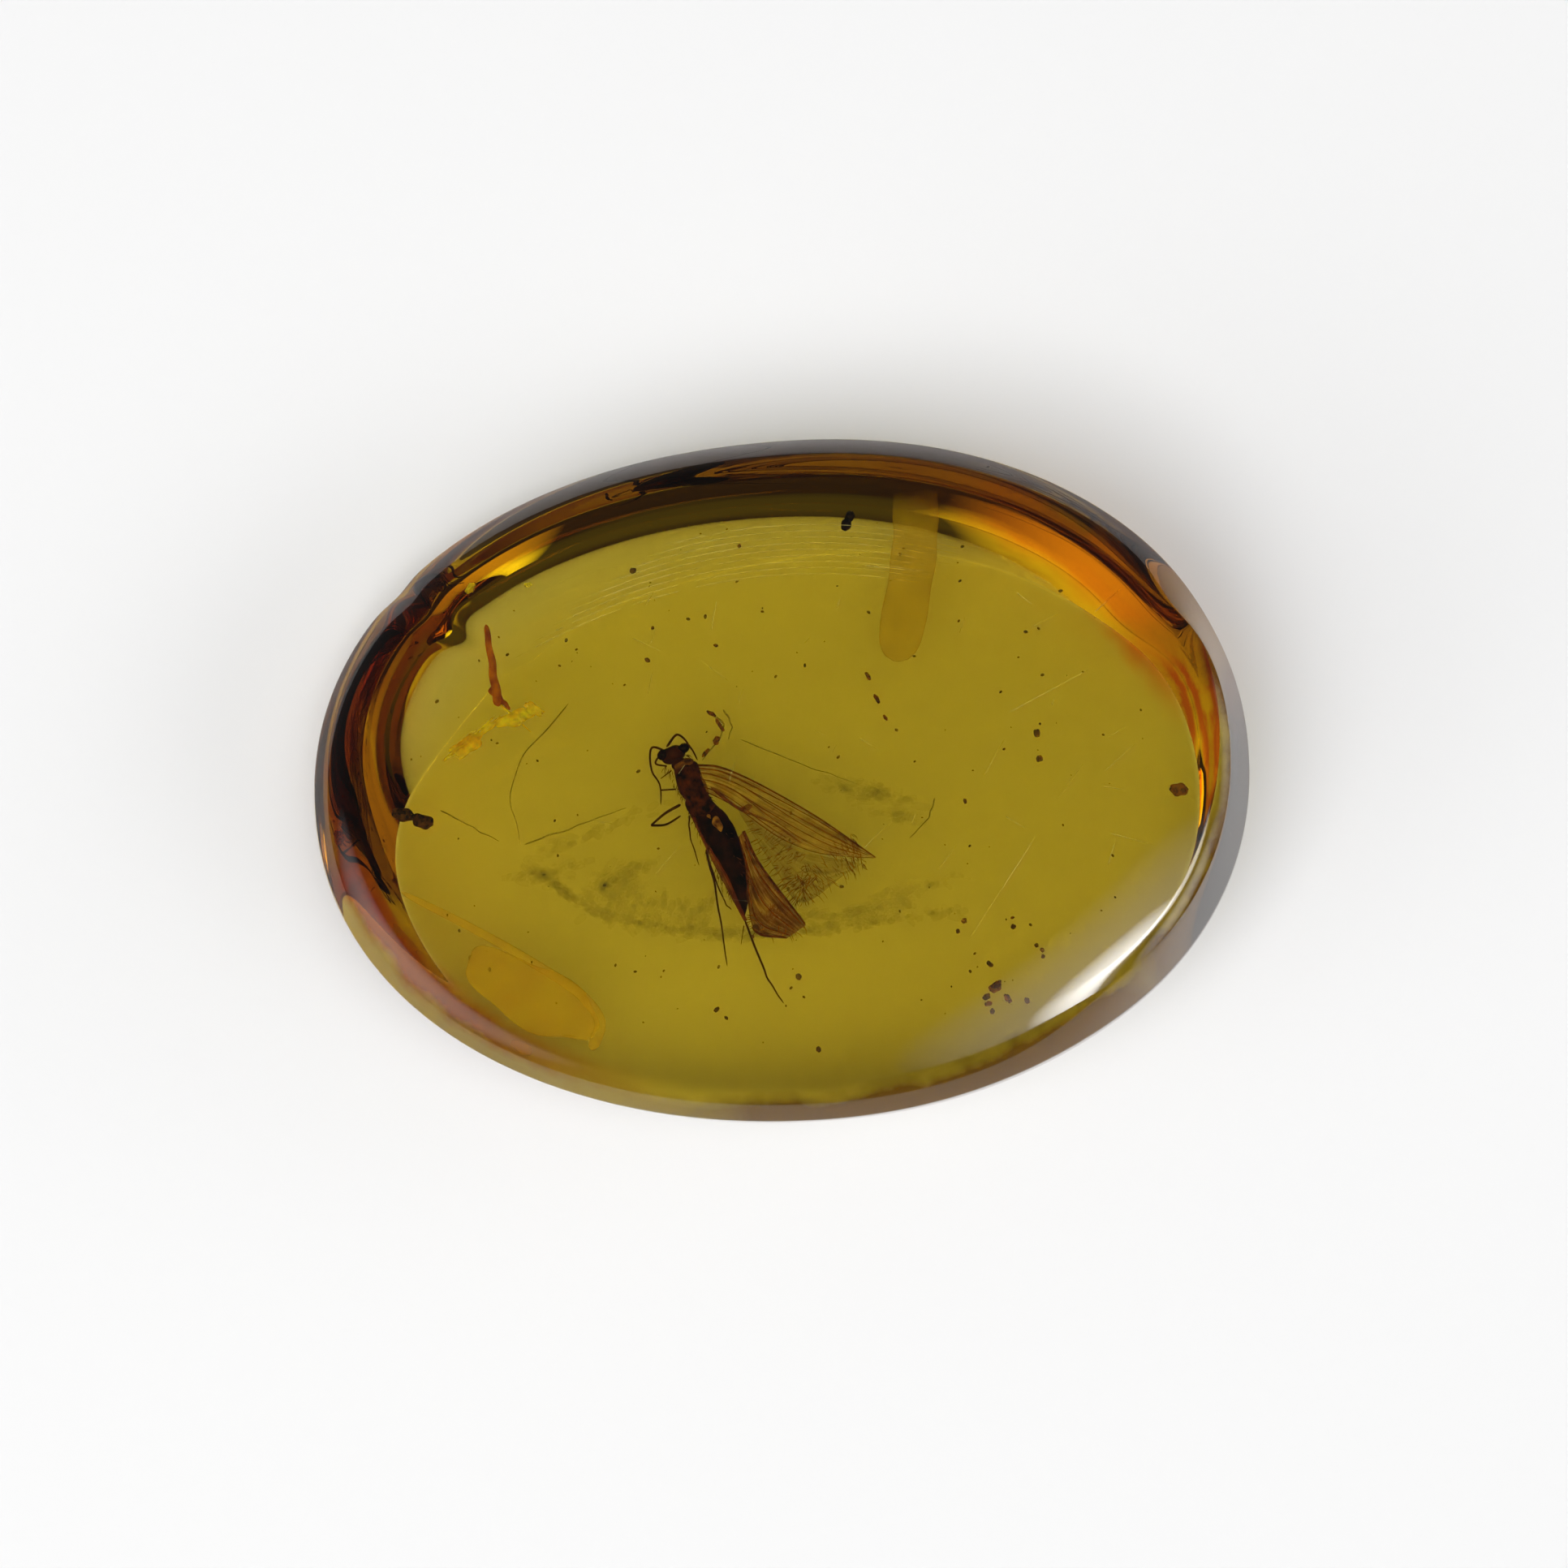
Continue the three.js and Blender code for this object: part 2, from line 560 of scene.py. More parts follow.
@dataclass(frozen=True)
class Chitin:
    """Insect shell: dark brown with redder, thinner places."""

    name: str = "chitin"
    deep: Colour = (0.004, 0.0015, 0.001)
    thin: Colour = (0.06, 0.012, 0.001)
    grain: float = 3.0
    gloss: float = 0.4
    shine: float = 0.04

    def material(self) -> bpy.types.Material:
        """Noise moves between the deep and thin colours; fine noise roughens it.

        Returns:
            The material.
        """
        n = Nodes(self.name)
        where = n.place()
        blotch = n.noise(where, self.grain, 4.0)
        colour = n.ramp(blotch, [(0.35, self.deep), (0.68, self.thin)])
        bump = n.add("Bump", {"Height": n.noise(where, 22.0, 2.0), "Strength": 0.4, "Distance": 0.02 * MM})
        shader = n.add(
            "BsdfPrincipled",
            {
                "Base Color": colour,
                "Roughness": self.gloss,
                "Specular IOR Level": self.shine,
                "Normal": bump.outputs["Normal"],
            },
        )
        return n.finish(shader)


@dataclass(frozen=True)
class Membrane:
    """Thin wing skin: see-through brown, streaked along the span."""

    name: str = "wing membrane"
    pale: Colour = (0.80, 0.40, 0.01)
    dark: Colour = (0.28, 0.085, 0.001)
    thin_alpha: float = 0.10
    thick_alpha: float = 0.52
    streaks: float = 6.0

    def material(self) -> bpy.types.Material:
        """Streaks from noise stretched along the map's u set colour and cover.

        Returns:
            The material.
        """
        n = Nodes(self.name)
        uv = n.add("UVMap", uv_map="span").outputs["UV"]
        stretched = n.add("Mapping", {"Vector": uv, "Scale": (1.6, self.streaks, 1.0)}).outputs["Vector"]
        streak = n.noise(stretched, 2.0, 3.0)
        cloud = n.noise(n.place(), 1.6, 3.0)
        both = n.math("ADD", n.math("MULTIPLY", streak, 0.6), n.math("MULTIPLY", cloud, 0.4))
        colour = n.ramp(both, [(0.38, self.dark), (0.62, self.pale)])
        cover = n.range(both, 0.36, 0.62, self.thick_alpha, self.thin_alpha)
        inputs = {"Base Color": colour, "Alpha": cover, "Roughness": 0.7, "Specular IOR Level": 0.02}
        return n.finish(n.add("BsdfPrincipled", inputs))


@dataclass(frozen=True)
class Speckled:
    """Matt matter, natural or painted light: two colours mixed by noise, solid or partly see-through."""

    name: str
    first: Colour
    second: Colour
    grain: float = 4.0
    cover: float = 1.0
    broken: float = 0.0
    roughness: float = 0.6
    fades_at: float | None = None

    def material(self) -> bpy.types.Material:
        """Noise mixes the two colours; the cover may be broken, or fade towards the far side.

        Returns:
            The material.
        """
        n = Nodes(self.name)
        where = n.place()
        value = n.noise(where, self.grain, 4.0)
        colour = n.ramp(value, [(0.36, self.first), (0.64, self.second)])
        inputs: dict = {"Base Color": colour, "Roughness": self.roughness, "Specular IOR Level": 0.05}
        if self.broken > 0:
            patch = n.noise(where, self.grain * 0.7, 3.0)
            inputs["Alpha"] = n.range(patch, 0.5 - 0.3 * (1 - self.broken), 0.62, 0.0, self.cover)
        elif self.fades_at is not None:
            y = n.add("SeparateXYZ", {0: where}).outputs["Y"]
            inputs["Alpha"] = n.range(y, self.fades_at, self.fades_at - 1.2, 0.0, self.cover)
        else:
            inputs["Alpha"] = self.cover
        return n.finish(n.add("BsdfPrincipled", inputs))


# ---------------------------------------------------------------------------
# The stone
# ---------------------------------------------------------------------------


@dataclass
class AmberStone:
    """The polished stone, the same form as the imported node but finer."""

    half_length: float = HALF_LENGTH
    half_width: float = HALF_WIDTH
    oval_power: float = 2.1
    egg_cos: float = -0.007
    egg_sin: float = 0.0034
    nick_depth: float = 0.008
    nick_angle: float = 2.639
    nick_width: float = 0.045
    thickness: float = 6.2
    girdle: float = 5.15
    wall_foot: float = 3.6
    wall_run: float = 0.40
    crown: float = 0.4
    crown_power: float = 5.0
    top_reach: float = 0.905
    top_reach_right: float = 0.01
    shoulder_power: float = 2.2
    wall_power: float = 1.05
    wall_from: float = -0.62
    wall_to: float = 0.34
    base_reach: float = 0.78
    base_reach_right: float = 0.05
    base_reach_far: float = -0.085
    base_reach_near: float = 0.05
    base_reach_wall: float = 0.035
    wall_base_spread: float = 0.4
    base_reach_corner: float = 0.13
    corner_from: float = 3.05
    corner_to: float = 4.6
    end_facet: float = 0.02
    end_facet_from: float = 2.639
    end_facet_to: float = 3.35
    flank_power: float = 2.2
    around: int = 540
    finish: AmberResin = AmberResin()

    def outline(self, u: np.ndarray) -> np.ndarray:
        """Outline radius: an oval power curve, made slightly egg-shaped, with one nick.

        Args:
            u: angles from the long axis.

        Returns:
            Radii in millimetres, same shape as u.
        """
        oval = (
            np.abs(np.cos(u) / self.half_length) ** self.oval_power
            + np.abs(np.sin(u) / self.half_width) ** self.oval_power
        ) ** (-1 / self.oval_power)
        egg = 1 + self.egg_cos * np.cos(3 * u) + self.egg_sin * np.sin(3 * u)
        nick = 1 - self.nick_depth * np.exp(-(((u - self.nick_angle) / self.nick_width) ** 2))
        return oval * egg * nick

    def rows(self) -> np.ndarray:
        """Rings from the middle of the top, over the shoulder and flank, to the underside.

        The shoulder and the flank are each part of a power-curve quarter turn whose
        start or end is the share of the outline reached by the top or the underside.

        Returns:
            Rings of shape (rings, around, 3) in millimetres.
        """
        u = np.linspace(0, 2 * np.pi, self.around, endpoint=False)[None, :]
        side = (u + np.pi) % (2 * np.pi) - np.pi
        wall = soft_band(side, self.wall_from, self.wall_to, 0.10, 0.05)
        facet = soft_band(u, self.end_facet_from, self.end_facet_to, 0.02, 0.08)
        corner = soft_band(u, self.corner_from, self.corner_to, 0.10, 0.15)
        top = self.top_reach + self.top_reach_right * np.cos(u)
        top = top + wall * (1 - self.wall_run / self.outline(u) - top)
        girdle = self.girdle + (self.wall_foot - self.girdle) * wall
        base = (
            self.base_reach
            + self.base_reach_right * np.cos(u)
            + np.where(np.sin(u) > 0, self.base_reach_far, self.base_reach_near) * np.abs(np.sin(u))
            + self.base_reach_wall * np.exp(-((side / self.wall_base_spread) ** 4))
            + self.base_reach_corner * corner
            + self.end_facet * facet
        )
        flat = np.linspace(0, 1, 25)[1:, None]
        step = np.linspace(0, 1, 40)[1:, None]
        power = self.shoulder_power + (self.wall_power - self.shoulder_power) * wall
        shoulder = top + (1 - top) * step
        drop = girdle + (self.thickness - girdle) * (1 - step**power)
        inner = base**self.flank_power
        depth = girdle / (1 - inner) ** (1 / self.flank_power)
        turned = np.append(np.linspace(0, 1, 54)[1:-1], [0.992, 1.0])[:, None]
        angle = turned * np.arcsin(np.sqrt(1 - inner))
        power = 2 / self.flank_power
        flank = np.cos(angle) ** power
        fall = girdle - depth * np.sin(angle) ** power
        under = np.array([0.996, 0.96, 0.8, 0.5, 0.2])[:, None] * base
        one = np.ones_like(u)
        reach = np.vstack([flat * top, shoulder, flank, under])
        height = np.vstack([flat * 0 * one + self.thickness, drop * one, fall, under * 0])
        x = reach * self.outline(u) * np.cos(u)
        y = reach * self.outline(u) * np.sin(u)
        above = np.clip((height - girdle) / (self.thickness - girdle), 0, 1)
        spread = (x / self.half_length) ** 2 + (y / self.half_width) ** 2
        height = height - self.crown * above * spread ** (self.crown_power / 2)
        height[-(len(under) + 1) :] = 0.0
        return np.stack([x, y, height], -1)

    def build(self) -> Piece:
        """Builds the stone about the bottom centre of its bounding box.

        Returns:
            The dressed stone.
        """
        rows = self.rows()
        middle = 0.5 * (rows.reshape(-1, 3).max(0) + rows.reshape(-1, 3).min(0))
        middle[2] = 0.0
        rows = rows - middle
        top = np.array([-middle[0], -middle[1], self.thickness])
        foot = np.array([-middle[0], -middle[1], 0.0])
        piece = closed_surface("amber_stone", rows, top, foot)
        piece.data.materials.append(self.finish.material())
        return piece


# ---------------------------------------------------------------------------
# The insect
# ---------------------------------------------------------------------------


@dataclass
class Insect:
    """A small winged insect lying on its side, one forewing spread to the right."""

    level: float = 3.3
    shell: Chitin = Chitin()
    collar: Chitin = Chitin("collar scales", (0.02, 0.006, 0.002), (0.26, 0.10, 0.018), 6.0, 0.6)
    flesh: Chitin = Chitin("pale flank", (0.10, 0.03, 0.005), (0.55, 0.26, 0.05), 5.0, 0.5)
    eye: Chitin = Chitin("eye", (0.001, 0.0006, 0.0005), (0.012, 0.003, 0.002), 9.0, 0.2)
    feeler: Chitin = Chitin("feeler", (0.02, 0.006, 0.002), (0.08, 0.022, 0.005), 7.0, 0.5)
    chest: Chitin = Chitin("thorax shell", (0.004, 0.0008, 0.0003), (0.11, 0.022, 0.0015), 4.6, 0.6)
    tail: Chitin = Chitin("abdomen shell", (0.002, 0.0005, 0.0003), (0.035, 0.006, 0.001), 1.8, 0.6)
    leg: Chitin = Chitin("leg", (0.025, 0.009, 0.003), (0.09, 0.03, 0.008), 6.0, 0.5)
    hair: Chitin = Chitin("hair", (0.02, 0.004, 0.0005), (0.14, 0.04, 0.003), 8.0, 0.6)
    fringe: Chitin = Chitin("fringe", (0.08, 0.025, 0.001), (0.35, 0.14, 0.004), 6.0, 0.6)
    vein: Chitin = Chitin("wing vein", (0.05, 0.012, 0.0005), (0.22, 0.065, 0.001), 8.0, 0.6)
    skin: Membrane = Membrane()
    hind_skin: Membrane = Membrane(
        "hindwing membrane", (0.60, 0.34, 0.005), (0.26, 0.11, 0.001), 0.03, 0.32, 5.0
    )
    folded_skin: Membrane = Membrane(
        "folded wing membrane", (0.48, 0.14, 0.001), (0.11, 0.024, 0.0), 0.28, 0.82, 7.0
    )
    edge_skin: Membrane = Membrane("left wing edge", (0.36, 0.07, 0.0), (0.08, 0.012, 0.0), 0.5, 0.9, 4.0)

    def head(self) -> list[Piece]:
        """Head and its eyes.

        Returns:
            The head and the pair of eyes.
        """
        z = self.level
        skull = join_rows(
            "insect_head",
            [
                Blob((-2.75, 0.9, z), (0.33, 0.24, 0.24), 12, 0, 0.05, 1.0).rows(),
                Blob((-2.6, 0.65, z), (0.2, 0.19, 0.2), 70, 0, 0.06, 2.0).rows(),
            ],
        )
        dress(skull, self.shell)
        eyes = join_rows(
            "insect_eyes",
            [
                Blob((-2.45, 1.05, z + 0.08), (0.15, 0.13, 0.14), 20, 0, 0.02, 0.0).rows(),
                Blob((-3.0, 0.9, z + 0.1), (0.15, 0.14, 0.14), 20, 0, 0.02, 0.5).rows(),
            ],
        )
        dress(eyes, self.eye)
        return [skull, eyes]

    def feelers(self) -> Piece:
        """Feelers and mouth feelers curling beside the head.

        Returns:
            One piece with every feeler.
        """
        z = self.level
        left = lift([(-2.9, 1.0), (-3.3, 1.1), (-3.3, 0.5), (-3.1, 0.1), (-3.1, -0.4)], z, z + 0.2)
        right = lift([(-2.9, 1.1), (-2.6, 1.4), (-2.3, 1.1), (-2.1, 0.7)], z + 0.1, z + 0.2)
        strands = [
            Strand(left, 0.032, 0.016, waver=0.008, fineness=70),
            Strand(right, 0.034, 0.018, waver=0.006, fineness=60),
            Strand(lift([(-3.0, 1.0), (-3.2, 0.7), (-2.9, 0.6)], z + 0.1), 0.03, 0.02),
            Strand(lift([(-2.9, 1.0), (-2.6, 1.1)], z + 0.15), 0.035, 0.025, fineness=24),
            Strand(lift([(-2.8, 0.5), (-3.1, 0.3)], z - 0.05), 0.018, 0.012, fineness=24),
            Strand(lift([(-3.1, 0.0), (-2.7, 0.0)], z), 0.02, 0.02, fineness=24),
        ]
        piece = join_rows("insect_feelers", [s.rows() for s in strands])
        dress(piece, self.feeler)
        return piece

    def thorax(self) -> list[Piece]:
        """Thorax, the scaly collar before it and the pale flank behind it.

        Returns:
            The three pieces in that order.
        """
        z = self.level
        chest = join_rows(
            "insect_thorax",
            [
                Blob((-2.3, 0.1, z), (0.72, 0.34, 0.4), -68, 0, 0.07, 0.4).rows(26),
                Blob((-2.05, -0.5, z - 0.02), (0.5, 0.36, 0.36), -60, 0, 0.08, 1.4).rows(24),
                Blob((-2.3, 0.4, z + 0.02), (0.32, 0.28, 0.32), -60, 0, 0.08, 2.2).rows(20),
            ],
        )
        dress(chest, self.chest)
        collar = join_rows(
            "insect_collar",
            [Blob((-2.45, 0.6, z + 0.16), (0.26, 0.15, 0.14), 20, 0, 0.12, 0.9).rows(18)],
        )
        dress(collar, self.collar)
        flank = join_rows(
            "insect_pale_flank",
            [
                Blob((-1.65, -1.0, z + 0.24), (0.25, 0.13, 0.14), -62, 0, 0.10, 1.7).rows(18),
                Blob((-1.85, -0.8, z + 0.22), (0.12, 0.08, 0.1), -40, 0, 0.10, 0.3).rows(14),
            ],
        )
        dress(flank, self.flesh)
        return [chest, collar, flank]

    def abdomen(self) -> Piece:
        """Ringed abdomen, widest a third of the way and drawn out to a point.

        Each ring of the body swells slightly between its joints.

        Returns:
            The abdomen.
        """
        way = [(-2.1, -0.4), (-1.6, -1.3), (-1.2, -2.4), (-1.1, -3.4)]
        path = smooth_path(lift(way, self.level, self.level - 0.1), 90)
        t = np.linspace(0, 1, 90)
        width = 0.41 * np.sin(np.pi * np.clip(t, 0, 1) ** 0.62) ** 0.75 * (1 - 0.25 * t) + 0.03
        rings = 1 + 0.045 * np.abs(np.sin(t * np.pi * 8)) ** 0.6
        close = np.sqrt(np.clip(1 - (2 * t - 1) ** 14, 0.01, 1))
        piece = join_rows("insect_abdomen", [tube_rows(path, width * rings * close, 28, 0.85)])
        dress(piece, self.tail)
        return piece

    def forewing(self) -> list[Piece]:
        """Spread forewing, its veins and the dark knot at its hinge.

        Returns:
            The three pieces in that order.
        """
        z = self.level + 0.12
        blade = Blade(
            lift([(-2.4, 0.6), (-1.3, 0.4), (0.7, -0.8), (2.4, -2.1)], z, z + 0.1),
            lift([(-2.3, 0.0), (-1.4, -0.4), (-0.1, -1.4), (1.0, -1.9), (2.4, -2.1)], z - 0.05, z + 0.1),
            camber=0.14,
            along=90,
            across=30,
        )
        wing = blade.build("insect_forewing")
        dress(wing, self.skin)
        plan = [
            ([(0.0, 0.0), (1.0, 0.0)], 0.028),
            ([(0.02, 0.12), (0.5, 0.12), (0.97, 0.05)], 0.018),
            ([(0.02, 0.3), (0.4, 0.28), (0.75, 0.3), (0.97, 0.3)], 0.014),
            ([(0.4, 0.28), (0.65, 0.42), (0.96, 0.55)], 0.012),
            ([(0.02, 0.55), (0.35, 0.52), (0.7, 0.62), (0.93, 0.75)], 0.014),
            ([(0.35, 0.52), (0.6, 0.75), (0.85, 0.93)], 0.012),
            ([(0.02, 0.8), (0.3, 0.84), (0.55, 0.93)], 0.016),
            ([(0.0, 1.0), (0.55, 1.0), (0.99, 1.0)], 0.013),
        ]
        veins = join_rows("insect_forewing_veins", self.veins(blade, plan))
        dress(veins, self.vein)
        crease = lift([(-1.8, 0.0), (-1.1, -0.6), (-0.3, -1.0), (0.5, -1.6)], z)
        knot = join_rows(
            "insect_wing_hinge",
            [
                Blob((-0.9, -0.6, z + 0.02), (0.17, 0.075, 0.06), 12, 0, 0.15, 0.6).rows(14),
                Strand(crease, 0.05, 0.02, waver=0.01, fineness=50).rows(),
            ],
        )
        dress(knot, self.vein)
        return [wing, veins, knot]

    def veins(self, blade: Blade, plan: list[tuple[FlatPath, float]]) -> list[np.ndarray]:
        """Veins laid on a wing.

        Args:
            blade: the wing they lie on.
            plan: for each vein its way in shares of span and chord, and its radius in mm.

        Returns:
            Rings of each vein.
        """
        rows = []
        for way, radius in plan:
            share = smooth_path([(s, t, 0.0) for s, t in way], 50)
            line = blade.surface(np.clip(share[:, 0], 0, 1), np.clip(share[:, 1], 0, 1))
            taper = np.linspace(1.0, 0.55, 60) * radius
            rows.append(tube_rows(smooth_path(line[::7], 60), taper, 8))
        return rows

    def hindwing(self) -> Piece:
        """Faint crumpled hindwing under the forewing.

        Returns:
            The hindwing.
        """
        z = self.level - 0.15
        blade = Blade(
            lift([(-1.2, -0.5), (0.4, -1.7), (2.0, -2.2)], z),
            lift([(-1.0, -0.9), (-0.2, -2.3), (0.4, -3.1), (1.6, -2.4)], z - 0.1),
            camber=0.05,
            ripple=0.02,
        )
        wing = blade.build("insect_hindwing")
        dress(wing, self.hind_skin)
        return wing

    def folded_wings(self) -> list[Piece]:
        """The other wings, folded back along both sides of the abdomen.

        Returns:
            The right folded wing, its veins and the edge of the left one.
        """
        z = self.level + 0.02
        right = Blade(
            lift([(-1.0, -1.2), (-0.6, -2.1), (0.5, -3.7)], z + 0.1),
            lift([(-1.2, -1.4), (-1.0, -2.9), (-0.8, -3.8), (0.0, -4.0)], z),
            camber=0.06,
        )
        wing = right.build("insect_folded_wing")
        dress(wing, self.folded_skin)
        plan = [
            ([(0.0, 0.0), (0.99, 0.0)], 0.045),
            ([(0.1, 0.2), (0.6, 0.15), (0.97, 0.12)], 0.02),
            ([(0.15, 0.5), (0.6, 0.45), (0.98, 0.5)], 0.016),
            ([(0.2, 0.75), (0.6, 0.8), (0.98, 0.8)], 0.02),
            ([(0.6, 0.99), (0.99, 0.98)], 0.04),
        ]
        veins = join_rows("insect_folded_wing_veins", self.veins(right, plan))
        dress(veins, self.vein)
        left = Blade(
            lift([(-2.4, -0.6), (-1.9, -1.8), (-1.1, -3.5)], z + 0.05),
            lift([(-2.1, -0.6), (-1.7, -1.7), (-1.0, -3.5)], z + 0.1),
            camber=0.03,
            across=12,
        )
        edge = left.build("insect_left_wing_edge")
        dress(edge, self.edge_skin)
        return [wing, veins, edge]

    def legs(self) -> Piece:
        """Front leg folded forwards and the long hind legs trailing behind.

        Returns:
            One piece with every leg.
        """
        z = self.level
        left = lift([(-2.0, -1.6), (-1.8, -2.7), (-1.6, -4.6)], z, z - 0.3)
        right = lift([(-1.1, -3.4), (-0.7, -4.6), (-0.5, -5.1), (-0.2, -5.6)], z, z - 0.4)
        middle = lift([(-2.4, -0.7), (-2.4, -1.2), (-2.2, -2.0)], z - 0.1)
        inner = lift([(-2.0, -1.7), (-1.6, -2.9), (-1.4, -3.2)], z + 0.1)
        strands = [
            Strand(lift([(-2.6, -0.4), (-3.0, -0.6), (-3.4, -0.9)], z), 0.04, 0.028, fineness=30),
            Strand(lift([(-3.4, -0.9), (-3.0, -0.9), (-2.6, -0.7)], z, z + 0.1), 0.032, 0.024, fineness=30),
            Strand(middle, 0.022, 0.012, waver=0.01, fineness=30),
            Strand(left, 0.036, 0.016, waver=0.012, fineness=70),
            Strand(inner, 0.02, 0.014, waver=0.01, fineness=30),
            Strand(right, 0.03, 0.016, waver=0.012, fineness=70),
            Strand(lift([(-1.1, -3.6), (-1.2, -4.1)], z), 0.016, 0.008, fineness=20),
        ]
        piece = join_rows("insect_legs", [s.rows() for s in strands])
        dress(piece, self.leg)
        return piece

    def bristles(self) -> list[Piece]:
        """Short scales and hairs that blur the body, and the fringe behind the wings.

        Body hairs start at random places along the body's centre line, out at its
        width, and lean backwards; fringe hairs start along a wing's trailing edge.

        Returns:
            The body hairs and the wing fringe.
        """
        rng = np.random.default_rng(RNG_SEED + 1)
        spine = smooth_path(lift([(-2.7, 0.8), (-2.0, -0.7), (-1.1, -2.9)], self.level), 60)
        rows = []
        for _ in range(230):
            k = int(rng.integers(1, 58))
            along = spine[k + 1] - spine[k - 1]
            along /= np.linalg.norm(along)
            side = np.array([-along[1], along[0], 0.0]) * rng.choice([-1.0, 1.0])
            root = spine[k] + side * rng.uniform(0.2, 0.36) + np.array([0, 0, rng.uniform(-0.1, 0.3)])
            tip = root + side * rng.uniform(0.03, 0.12) + along * rng.uniform(0.05, 0.2)
            bend = 0.5 * (root + tip) + side * 0.015
            rows.append(Strand([root, bend, tip], 0.009, 0.003, fineness=5).rows(4))
        hairs = join_rows("insect_hairs", rows)
        dress(hairs, self.hair)
        hind = lift([(-1.0, -0.9), (-0.2, -2.3), (0.4, -3.1), (1.6, -2.4), (2.1, -2.2)], self.level - 0.2)
        folded = lift([(-1.0, -3.4), (-0.8, -3.8), (0.0, -4.0), (0.5, -3.7)], self.level)
        rows = []
        for way, count, reach in [(hind, 320, 0.42), (folded, 130, 0.3)]:
            edge = smooth_path(way, 200)
            for k in rng.integers(1, 198, count):
                along = edge[k + 1] - edge[k - 1]
                along /= np.linalg.norm(along)
                out = np.array([along[1], -along[0], 0.0])
                root = edge[k] - out * rng.uniform(0.0, 0.9) + np.array([0, 0, rng.uniform(-0.05, 0.1)])
                tip = root + out * rng.uniform(0.1, reach) + along * rng.uniform(-0.12, 0.12)
                bend = 0.5 * (root + tip) + along * rng.uniform(-0.04, 0.04)
                rows.append(Strand([root, bend, tip], 0.010, 0.004, fineness=5).rows(4))
        fringe = join_rows("insect_wing_fringe", rows)
        dress(fringe, self.fringe)
        return [hairs, fringe]

    def build(self) -> list[Piece]:
        """Builds the whole insect from head to hind legs.

        Returns:
            Every piece of the insect.
        """
        pieces = self.head() + [self.feelers()] + self.thorax() + [self.abdomen()]
        pieces += self.forewing() + [self.hindwing()] + self.folded_wings() + [self.legs()]
        pieces += self.bristles()
        return pieces


# ---------------------------------------------------------------------------
# Everything else sealed in the stone
# ---------------------------------------------------------------------------


